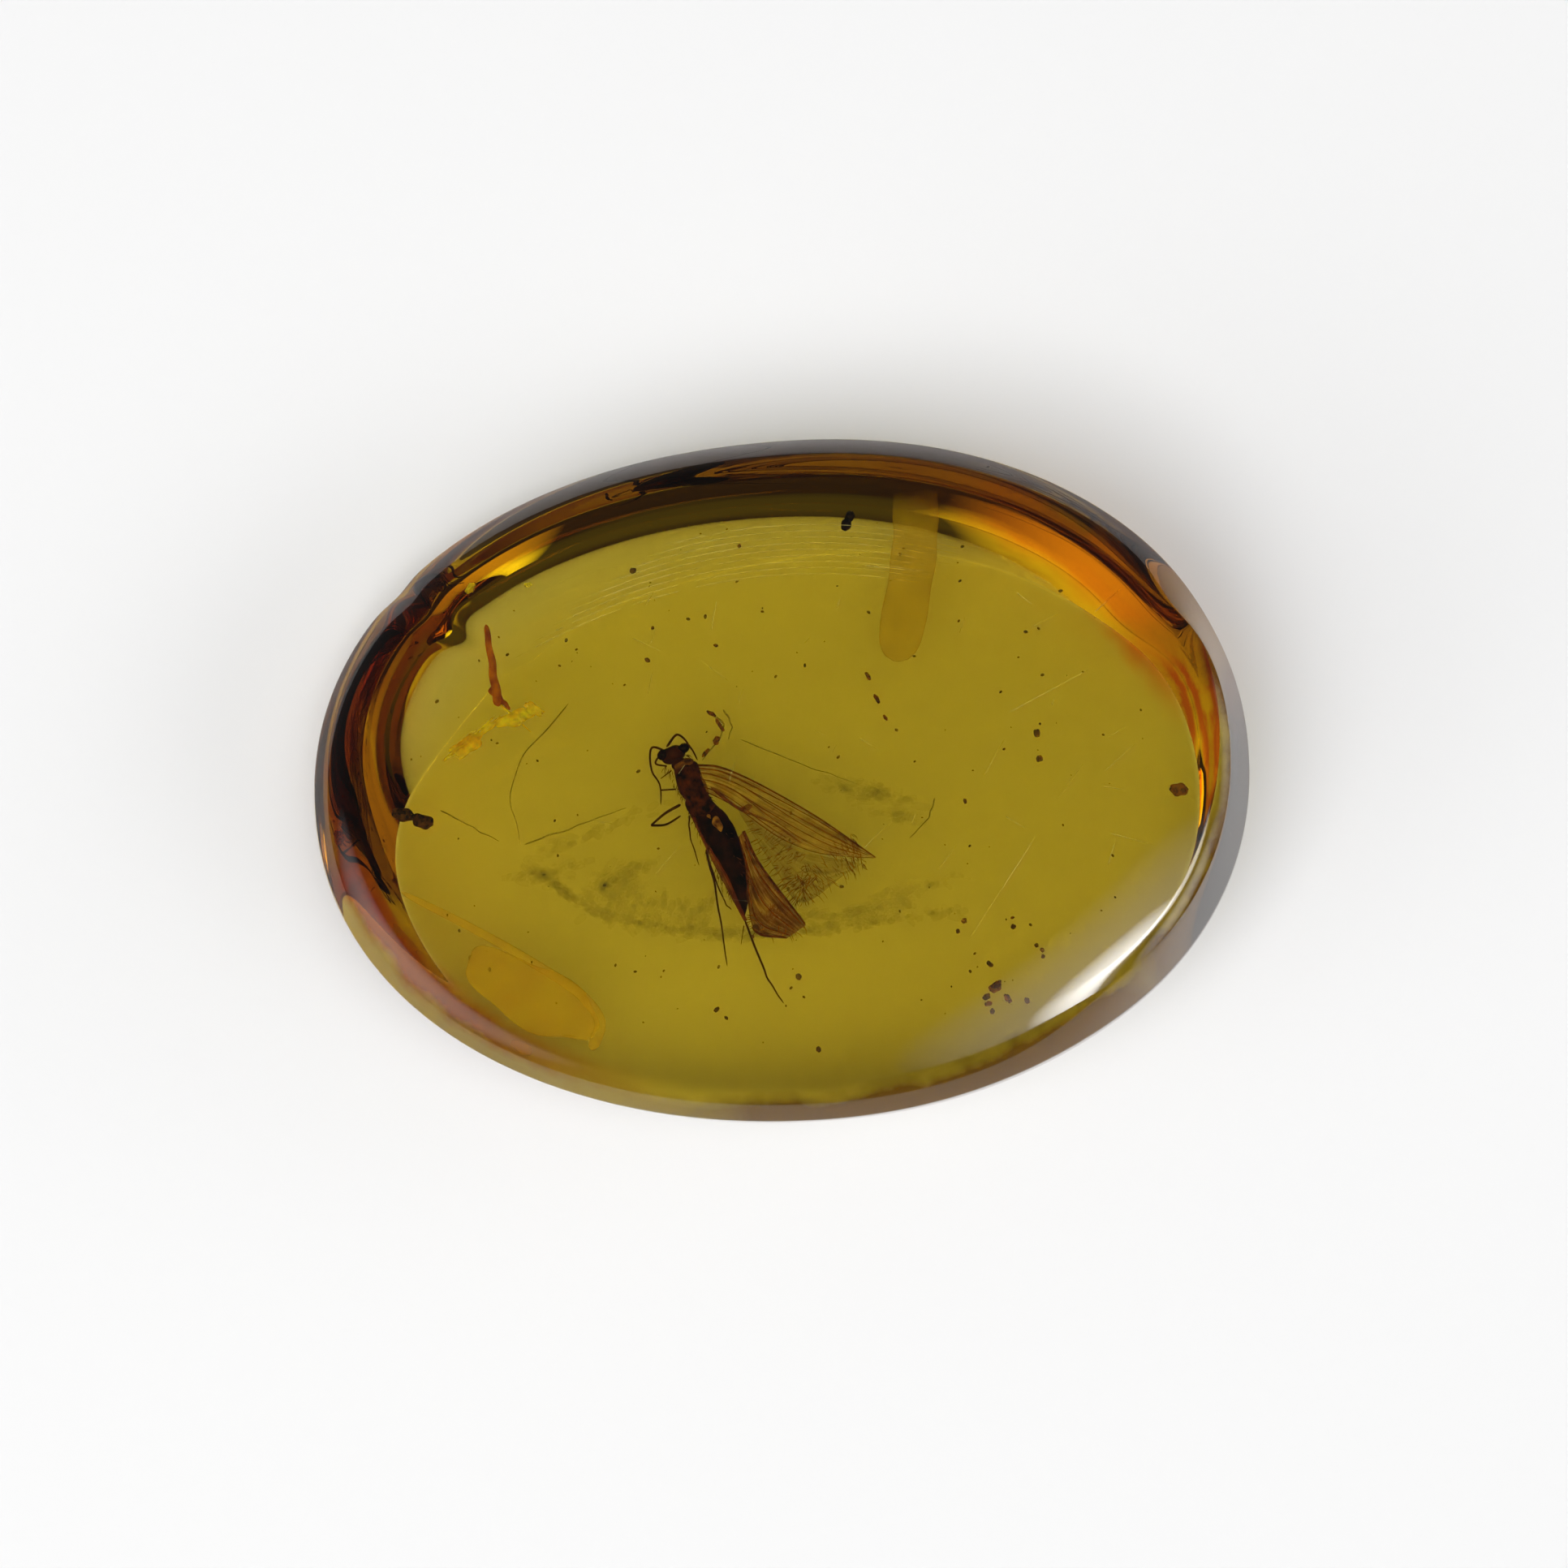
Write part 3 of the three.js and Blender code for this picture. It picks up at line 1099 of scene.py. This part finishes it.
@dataclass
class Inclusions:
    """Bark, dirt, flakes painted with their reflection, flow lines, a painted golden glow and scratches
    painted as glints, sealed in the resin.
    """

    scratch_depth: float = 0.07
    dark: Speckled = Speckled("dark dirt", (0.003, 0.002, 0.0015), (0.02, 0.01, 0.004), 7.0)
    brown: Speckled = Speckled("bark", (0.02, 0.009, 0.002), (0.12, 0.045, 0.006), 6.0, 0.92)
    speck: Speckled = Speckled("speck", (0.09, 0.036, 0.003), (0.30, 0.12, 0.006), 6.0, 0.72)
    dust: Speckled = Speckled("dust", (0.12, 0.08, 0.01), (0.30, 0.20, 0.02), 5.0, 0.75)
    crumb: Speckled = Speckled("crumb", (0.10, 0.028, 0.002), (0.38, 0.13, 0.005), 6.0, 0.78)
    thread: Speckled = Speckled("thread", (0.14, 0.11, 0.006), (0.32, 0.24, 0.01), 5.0, 0.45)
    tube: Speckled = Speckled(
        "resin tube", (0.66, 0.42, 0.0), (0.95, 0.66, 0.01), 2.0, 0.36, fades_at=7.3
    )
    # painted reflection: split faces coloured bright gold for the light they reflect
    split: Speckled = Speckled("split face reflection", (1.0, 0.60, 0.0), (1.0, 0.90, 0.02), 3.0, 0.95, 0.3, 0.5)
    red: Speckled = Speckled("red streak", (0.30, 0.05, 0.0), (0.6, 0.16, 0.0), 3.0, 0.85)
    murk: Speckled = Speckled("murk", (0.12, 0.11, 0.002), (0.24, 0.20, 0.005), 1.6, 0.026)
    flow: Speckled = Speckled("flow line", (0.12, 0.10, 0.002), (0.26, 0.20, 0.004), 2.2, 0.034)
    # painted glow: a faint golden sheet for the glow at the lower left
    glow_sheet: Speckled = Speckled("painted golden glow", (0.85, 0.50, 0.0), (1.0, 0.72, 0.0), 1.2, 0.30)
    # painted glint: scratches coloured pale gold for the light they catch
    scratch_and_glint: Speckled = Speckled("scratch_and_glint", (0.90, 0.80, 0.20), (1.0, 0.95, 0.40), 3.0, 0.7, 0.5)

    def pellets(self) -> list[Piece]:
        """The black two-lobed pellet and the brown one at the left end.

        Returns:
            The two pellets.
        """
        black = join_rows(
            "pellet_black",
            [
                Blob((2.1, 6.4, 5.0), (0.17, 0.13, 0.13), 60, 0, 0.08, 0.2).rows(14),
                Blob((2.2, 6.6, 5.0), (0.15, 0.12, 0.12), 60, 0, 0.08, 1.2).rows(14),
            ],
        )
        dress(black, self.dark)
        brown = join_rows(
            "pellet_brown",
            [
                Blob((-9.7, -0.3, 4.2), (0.3, 0.17, 0.17), -20, 0, 0.12, 0.4).rows(16),
                Blob((-9.2, -0.5, 4.2), (0.28, 0.18, 0.17), -20, 0, 0.14, 1.4).rows(16),
            ],
        )
        dress(brown, self.brown)
        return [black, brown]

    def specks(self) -> list[Piece]:
        """Fine dirt in four loose groups, and dust spread evenly through the stone.

        Returns:
            The specks and the dust.
        """
        groups = [
            ((5.5, -5.0), 1.2, 13),
            ((-0.5, -5.5), 1.8, 6),
            ((5.5, 0.0), 1.4, 5),
            ((-2.0, 5.0), 1.8, 5),
        ]
        rng = np.random.default_rng(RNG_SEED)
        rows = []
        for middle, spread, count in groups:
            for _ in range(count):
                x, y = (middle[k] + spread * rng.uniform(-1, 1) for k in (0, 1))
                size = rng.uniform(0.04, 0.10)
                radii = tuple(size * rng.uniform(0.6, 1.2, 3))
                centre = (x, y, rng.uniform(3.8, 5.2))
                rows.append(Blob(centre, radii, rng.uniform(0, 180), 0, 0.15, rng.uniform(0, 6)).rows(8))
        specks = join_rows("specks", rows)
        dress(specks, self.speck)
        filled, length, width = 0.88, 11.2, 7.9
        rows = []
        for _ in range(150):
            a, r = rng.uniform(0, 2 * np.pi), math.sqrt(rng.uniform(0, 1)) * filled
            size = 0.012 + 0.03 * rng.random() ** 2
            centre = (r * length * math.cos(a), r * width * math.sin(a), rng.uniform(2.5, 5.8))
            rows.append(Blob(centre, (size * 1.6, size, size), rng.uniform(0, 180), 0, 0.1, 0.0).rows(5))
        dust = join_rows("dust", rows)
        dress(dust, self.dust)
        return [specks, dust]

    def crumbs(self) -> Piece:
        """Larger crumbs of bark near the two ends, the head and the near side.

        Returns:
            One piece with every crumb.
        """
        plan = [
            ((10.2, -0.9, 4.9), (0.23, 0.16, 0.12), -20),
            ((5.3, -5.6, 4.6), (0.17, 0.12, 0.1), 30),
            ((5.6, -5.9, 4.6), (0.13, 0.07, 0.08), -50),
            ((5.1, -6.0, 4.5), (0.1, 0.06, 0.07), 15),
            ((-1.6, 1.2, 3.3), (0.12, 0.08, 0.07), 60),
            ((-1.7, 1.9, 3.4), (0.14, 0.05, 0.05), -35),
            ((-1.5, 1.6, 3.3), (0.2, 0.05, 0.05), -60),
            ((-1.9, 0.9, 3.3), (0.14, 0.05, 0.05), 50),
            ((2.4, 2.6, 3.6), (0.12, 0.05, 0.05), -60),
            ((2.6, 2.0, 3.6), (0.14, 0.05, 0.05), -65),
            ((2.8, 1.5, 3.6), (0.09, 0.04, 0.05), -60),
            ((-11.2, -0.8, 4.9), (0.12, 0.2, 0.1), 0),
        ]
        rows = []
        for k, (centre, radii, turn) in enumerate(plan):
            rows.append(Blob(centre, radii, turn, 0, 0.16, k * 1.3).rows(12))
        piece = join_rows("crumbs", rows)
        dress(piece, self.crumb)
        return piece

    def threads(self) -> Piece:
        """Plant hairs and fine dirt lines.

        Returns:
            One piece with every thread.
        """
        strands = [
            Strand(lift([(4.0, -0.7), (3.8, -1.2), (3.3, -1.7)], 4.2), 0.02, 0.012, waver=0.02),
            Strand(lift([(-1.4, 2.0), (-1.2, 1.6), (-1.3, 1.2)], 3.3), 0.025, 0.012, waver=0.02),
            Strand(lift([(-1.8, 2.0), (-1.4, 1.5), (-2.0, 0.7)], 3.3), 0.03, 0.015, waver=0.03),
            Strand(lift([(-6.7, -1.2), (-4.0, -0.4)], 3.3), 0.022, 0.01, waver=0.04),
            Strand(lift([(-8.8, -0.2), (-7.3, -1.1)], 3.6), 0.02, 0.01, waver=0.03),
            Strand(lift([(-1.0, 1.2), (0.7, 0.4), (1.9, -0.1)], 3.3), 0.016, 0.008, waver=0.03),
            Strand(lift([(-5.4, 2.4), (-6.9, 0.6), (-6.8, -1.2)], 3.3), 0.02, 0.01, waver=0.04),
        ]
        piece = join_rows("threads", [strand.rows(6) for strand in strands])
        dress(piece, self.thread)
        return piece

    def fibre(self) -> Piece:
        """A flat pale tube of resin that runs in from the far side and ends rounded.

        Returns:
            The tube.
        """
        way = lift([(3.8, 7.9), (3.7, 5.8), (3.1, 3.0)], 3.3, 2.9)
        path = smooth_path(way, 60)
        t = np.linspace(0, 1, 60)
        rounded = np.sqrt(np.clip(1 - np.clip((t - 0.87) / 0.13, 0, 1) ** 2, 0.01, 1))
        width = 0.58 * rounded * (1 + 0.03 * np.sin(26 * t))
        piece = join_rows("resin_tube", [tube_rows(path, width, 28, 0.3)])
        dress(piece, self.tube)
        return piece

    def flakes(self) -> list[Piece]:
        """Split faces painted bright gold as their reflection, and the red streak beside them at the left
        end.

        Returns:
            The split faces and the streak.
        """
        # painted reflection: the bright gold split faces
        bright = join_rows(
            "flake_reflections",
            [
                Blob((-6.7, 2.0, 4.4), (0.5, 0.17, 0.05), 12, 8, 0.28, 0.4).rows(18),
                Blob((-6.2, 2.2, 4.4), (0.26, 0.12, 0.04), -30, 8, 0.3, 2.4).rows(14),
                Blob((-8.0, 1.4, 4.2), (0.46, 0.2, 0.05), 32, -6, 0.3, 1.4).rows(18),
                Blob((-7.4, 1.8, 4.3), (0.4, 0.07, 0.04), 38, 0, 0.3, 3.4).rows(14),
                Strand(lift([(-7.2, 2.5), (-6.3, 1.6)], 4.4), 0.04, 0.01).rows(8),
                Strand(lift([(-8.6, 1.0), (-7.2, 2.1)], 4.3), 0.05, 0.02, waver=0.03).rows(8),
                Blob((-7.7, 5.4, 4.6), (0.16, 0.1, 0.04), 40, 0, 0.2, 0.4).rows(12),
                Blob((-6.2, 5.4, 4.6), (0.1, 0.06, 0.04), 0, 0, 0.2, 0.9).rows(10),
            ],
        )
        dress(bright, self.split)
        falling = lift([(-7.3, 4.4), (-7.1, 2.3)], 5.0, 4.6)
        level = lift([(-7.3, 2.8), (-6.8, 2.2)], 4.6)
        streak = join_rows(
            "red_streak",
            [
                Strand(falling, 0.07, 0.13, flat=0.5, waver=0.02).rows(12),
                Strand(level, 0.12, 0.04, flat=0.4, waver=0.02).rows(10),
            ],
        )
        dress(streak, self.red)
        return [bright, streak]

    def haze(
        self,
        rng: np.random.Generator,
        middle: FlatPath,
        height: float,
        reach: tuple[float, float],
        count: int,
        turn: float,
    ) -> list[np.ndarray]:
        """A soft cloud of fine flecks, thickest in the middle.

        Args:
            rng: where the chances come from.
            middle: points that the cloud is strung along.
            height: level in the stone.
            reach: spread along and across the cloud.
            count: number of flecks.
            turn: turn of the cloud and its flecks in degrees.

        Returns:
            Rings of each fleck.
        """
        rows = []
        a = math.radians(turn)
        for k in rng.integers(0, len(middle), count):
            u, v = rng.normal(0, reach[0]), rng.normal(0, reach[1])
            x = middle[k][0] + u * math.cos(a) - v * math.sin(a)
            y = middle[k][1] + u * math.sin(a) + v * math.cos(a)
            size = rng.uniform(0.035, 0.11)
            radii = (size * rng.uniform(1.5, 3.5), size, 0.4 * size)
            centre = (x, y, height + rng.normal(0, 0.08))
            rows.append(Blob(centre, radii, turn + rng.normal(0, 25), 0, 0.1, 0.0).rows(4))
        return rows

    def clouds(self) -> list[Piece]:
        """Murky wisps, the curved flow line round the insect and a sheet that paints the golden glow.

        Returns:
            The three pieces in that order.
        """
        rng = np.random.default_rng(RNG_SEED + 2)
        rows = self.haze(rng, [(-4.4, -2.35)], 3.0, (0.42, 0.2), 110, 14)
        rows += self.haze(rng, [(-3.95, -2.0)], 3.0, (0.32, 0.1), 25, 24)
        rows += self.haze(rng, [(-6.7, -2.0), (-6.2, -2.0), (-5.7, -1.85)], 3.0, (0.3, 0.1), 50, 8)
        rows += self.haze(rng, [(1.6, -0.2), (2.2, -0.35), (2.8, -0.5)], 3.0, (0.36, 0.12), 90, -14)
        rows += self.haze(rng, [(2.6, -0.9), (3.2, -1.05)], 3.0, (0.34, 0.08), 35, -14)
        rows += self.haze(rng, [(2.6, -3.1), (3.3, -2.9), (4.0, -2.8)], 2.9, (0.34, 0.1), 50, 8)
        rows += self.haze(rng, [(-5.0, -1.1), (-4.3, -0.75), (-6.0, -1.35)], 3.1, (0.45, 0.07), 40, 18)
        murk = join_rows("murky_wisps", rows)
        dress(murk, self.murk)
        sweep = smooth_path(lift([(-6.6, -1.8), (-4.4, -3.2), (-0.6, -3.8), (4.6, -3.5)], 2.9), 60)
        rows = []
        for k in range(1, 59):
            along = sweep[k + 1] - sweep[k - 1]
            heading = math.degrees(math.atan2(along[1], along[0]))
            many = int(4 + 5 * math.exp(-(((k - 38) / 12) ** 2)))
            rows += self.haze(rng, [tuple(sweep[k, :2])], 2.9, (0.14, 0.07), many, heading)
        rows += self.haze(rng, [(0.6, -3.5), (1.5, -3.4), (2.4, -3.35)], 2.95, (0.4, 0.1), 70, 4)
        for k in range(16):
            x = -4.6 + 0.17 * k + rng.uniform(-0.05, 0.05)
            y = -3.15 - 0.02 * k
            rib = [(x, y), (x + 0.06, y + 0.25), (x + 0.13, y + 0.45)]
            rows += self.haze(rng, rib, 2.95, (0.1, 0.03), 7, 70)
        flow = join_rows("flow_line", rows)
        dress(flow, self.flow)
        # painted glow: a thin golden sheet with a thicker edge at the lower left
        edge = lift([(-9.9, -2.2), (-6.9, -4.0), (-5.0, -5.5), (-5.1, -6.5)], 3.4)
        glow_sheet = join_rows(
            "golden_glow_sheet",
            [
                Strand(edge, 0.09, 0.16, flat=0.5, waver=0.03, fineness=80).rows(12),
                Blob((-6.6, -5.0, 3.3), (1.9, 0.75, 0.1), -34, 0, 0.12, 0.7).rows(26),
            ],
        )
        dress(glow_sheet, self.glow_sheet)
        return [murk, flow, glow_sheet]

    def scratches(self) -> Piece:
        """Hairline scratches and polishing marks just under the top face, coloured pale gold as a painted
        glint.

        Returns:
            One piece with every scratch.
        """
        lines: list[FlatPath] = [
            [(6.6, -2.0), (4.8, -4.5)],
            [(5.4, -6.0), (5.8, -6.2)],
            [(6.1, 1.2), (8.2, 2.2)],
            [(4.1, -2.7), (4.6, -2.1)],
            [(7.2, -1.1), (7.9, -0.2)],
            [(2.6, 5.2), (4.4, 4.9)],
        ]
        rng = np.random.default_rng(RNG_SEED + 3)
        for _ in range(34):
            x, y = rng.uniform(-5, 9), rng.uniform(-5, 5.5)
            a = rng.choice([0.75, -0.5, 1.2]) + rng.normal(0, 0.15)
            reach = rng.uniform(0.2, 1.1)
            lines.append([(x, y), (x + reach * math.cos(a), y + reach * math.sin(a))])
        for k in range(9):
            across = np.linspace(-6.5 + 0.5 * k, 4.0 + 0.2 * k, 7)
            lines.append([(x, 5.1 + 0.16 * k - 0.035 * (x - 0.5) ** 2) for x in across])
        rows = []
        for line in lines:
            under = [(x, y, self.under_top(x, y)) for x, y in line]
            rows.append(Strand(under, 0.010, 0.004, fineness=24).rows(4))
        # painted glint: the scratches carry a pale gold colour
        piece = join_rows("fine_scratch_glints", rows)
        dress(piece, self.scratch_and_glint)
        return piece

    def under_top(self, x: float, y: float) -> float:
        """Height of one of the scratches: its depth below the top face, which falls towards the rim.

        Args:
            x: place along the stone in millimetres.
            y: place across the stone in millimetres.

        Returns:
            Height in millimetres.
        """
        spread = (x / HALF_LENGTH) ** 2 + (y / HALF_WIDTH) ** 2
        fall = AmberStone.crown * spread ** (AmberStone.crown_power / 2)
        return AmberStone.thickness - self.scratch_depth - fall

    def build(self) -> list[Piece]:
        """Builds every inclusion.

        Returns:
            Every piece sealed in the stone beside the insect.
        """
        pieces = self.pellets() + self.specks() + [self.crumbs(), self.threads(), self.fibre()]
        return pieces + self.flakes() + self.clouds() + [self.scratches()]


# ---------------------------------------------------------------------------
# Dressing, studio and main
# ---------------------------------------------------------------------------


def dress(piece: Piece, finish: object) -> None:
    """Gives a piece its finish and its place on the stone's body.

    Args:
        piece: the object.
        finish: the finish, which makes its own material.
    """
    piece.data.materials.append(finish.material())
    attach(piece, "root")


def toward(azimuth: float, elevation: float) -> Vector:
    """Unit direction from the stone; azimuth 0 is the near side and 90 the right."""
    a, e = math.radians(azimuth), math.radians(elevation)
    return Vector((math.sin(a) * math.cos(e), -math.cos(a) * math.cos(e), math.sin(e)))


@dataclass(frozen=True)
class Softbox:
    """A rectangular soft light that faces the stone."""

    name: str
    azimuth: float
    elevation: float
    width: float
    height: float
    radiance: float
    mirrored: bool = True
    distance: float = 0.5

    def build(self) -> Piece:
        """Places the light.

        Returns:
            The light object.
        """
        lamp = bpy.data.lights.new(self.name, "AREA")
        lamp.shape = "RECTANGLE"
        lamp.size, lamp.size_y = self.width, self.height
        lamp.energy = self.radiance * math.pi * self.width * self.height
        holder = bpy.data.objects.new(self.name, lamp)
        bpy.context.scene.collection.objects.link(holder)
        away = toward(self.azimuth, self.elevation)
        holder.location = away * self.distance
        holder.rotation_mode = "QUATERNION"
        holder.rotation_quaternion = away.to_track_quat("Z", "Y")
        holder.visible_camera = False
        holder.visible_glossy = self.mirrored
        return holder


@dataclass(frozen=True)
class Glow:
    """A soft bright place in the surround."""

    azimuth: float
    elevation: float
    radiance: float
    spread: float


@dataclass
class Studio:
    """Pale floor, dim soft surround and softboxes, with the camera almost overhead."""

    azimuth: float = 38.0
    elevation: float = 80.0
    roll: float = 41.0
    distance: float = 0.15
    lens: float = 132.9
    target: Point = (-0.05, 0.15, 3.03)
    horizon: float = 0.15
    overhead: float = 0.08
    glows: tuple[Glow, ...] = (
        Glow(-64.0, 25.0, 2.0, 30.0),
        Glow(49.0, 76.0, 24.0, 7.0),
        Glow(49.0, 76.0, 2.5, 13.0),
        Glow(74.0, 70.0, 9.0, 8.0),
        Glow(60.0, 38.0, 3.4, 20.0),
        Glow(94.0, 20.0, 1.8, 22.0),
    )
    softboxes: tuple[Softbox, ...] = (
        Softbox("key", -30.0, 64.0, 0.30, 0.30, 4.7, mirrored=False),
    )

    def floor(self) -> Piece:
        """A wide pale matt floor just under the stone.

        Returns:
            The floor object.
        """
        reach = 2.0
        drop = -0.00004
        points = [(x * reach, y * reach, drop) for x, y in ((-1, -1), (1, -1), (1, 1), (-1, 1))]
        mesh = bpy.data.meshes.new("floor")
        mesh.from_pydata(points, [], [(0, 1, 2, 3)])
        piece = bpy.data.objects.new("floor", mesh)
        bpy.context.scene.collection.objects.link(piece)
        n = Nodes("pale floor")
        inputs = {"Base Color": (0.85, 0.85, 0.85, 1.0), "Roughness": 0.9, "Specular IOR Level": 0.0}
        mesh.materials.append(n.finish(n.add("BsdfPrincipled", inputs)))
        return piece

    def surround(self) -> None:
        """A dim world with a few soft glows, that the camera itself sees as pale."""
        world = bpy.data.worlds.new("surround")
        bpy.context.scene.world = world
        n = Nodes("surround", world)
        where = n.add("TexCoord").outputs["Generated"]
        height = n.add("SeparateXYZ", {0: where}).outputs["Z"]
        light = n.range(height, -0.3, 0.9, self.horizon, self.overhead)
        for glow in self.glows:
            inputs = {0: where, 1: toward(glow.azimuth, glow.elevation)}
            cosine = n.add("VectorMath", inputs, operation="DOT_PRODUCT").outputs["Value"]
            edge = math.cos(math.radians(glow.spread))
            light = n.math("ADD", light, n.range(cosine, edge, 1.0, 0.0, glow.radiance))
        seen = n.add("LightPath").outputs["Is Camera Ray"]
        strength = n.add("Mix", {"Factor": seen, "A": light, "B": 0.8}).outputs["Result"]
        n.finish(n.add("Background", {"Color": (1.0, 1.0, 1.0, 1.0), "Strength": strength}))

    def camera(self) -> Piece:
        """Camera that looks down at the stone, rolled so that its long axis lies across.

        Returns:
            The camera object.
        """
        data = bpy.data.cameras.new("camera")
        data.sensor_width = 36.0
        data.lens = self.lens
        data.clip_start, data.clip_end = 0.001, 10.0
        holder = bpy.data.objects.new("camera", data)
        bpy.context.scene.collection.objects.link(holder)
        a, r = math.radians(self.azimuth), math.radians(self.roll)
        back = toward(self.azimuth, self.elevation)
        right = Vector((math.cos(a), math.sin(a), 0.0))
        up = back.cross(right)
        across = right * math.cos(r) - up * math.sin(r)
        upright = right * math.sin(r) + up * math.cos(r)
        turn = Matrix((across, upright, back)).transposed().to_4x4()
        holder.matrix_world = Matrix.Translation(Vector(self.target) * MM + back * self.distance) @ turn
        bpy.context.scene.camera = holder
        return holder

    def build(self) -> None:
        """Sets floor, surround, lights, camera and how light is traced."""
        self.floor()
        self.surround()
        for box in self.softboxes:
            box.build()
        self.camera()
        scene = bpy.context.scene
        scene.view_settings.view_transform = "Standard"
        scene.cycles.max_bounces = 24
        scene.cycles.transmission_bounces = 24
        scene.cycles.glossy_bounces = 16
        scene.cycles.diffuse_bounces = 4
        scene.cycles.transparent_max_bounces = 24
        scene.cycles.sample_clamp_indirect = 20.0


def corners(pair: tuple) -> list[list[float]]:
    """A pair of corners as plain lists of numbers."""
    return [[float(v) for v in corner] for corner in pair]


def main() -> None:
    """Builds the stone, the insect, the inclusions and the studio, in that order."""
    logging.basicConfig(level=logging.INFO, format="%(message)s")
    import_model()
    stone = AmberStone().build()
    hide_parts("amber")
    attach(stone, "root")
    pieces = [stone] + Insect().build() + Inclusions().build()
    for piece in pieces:
        LOG.info("%s: %d faces", piece.name, len(piece.data.polygons))
    Studio().build()


if __name__ == "__main__":
    main()
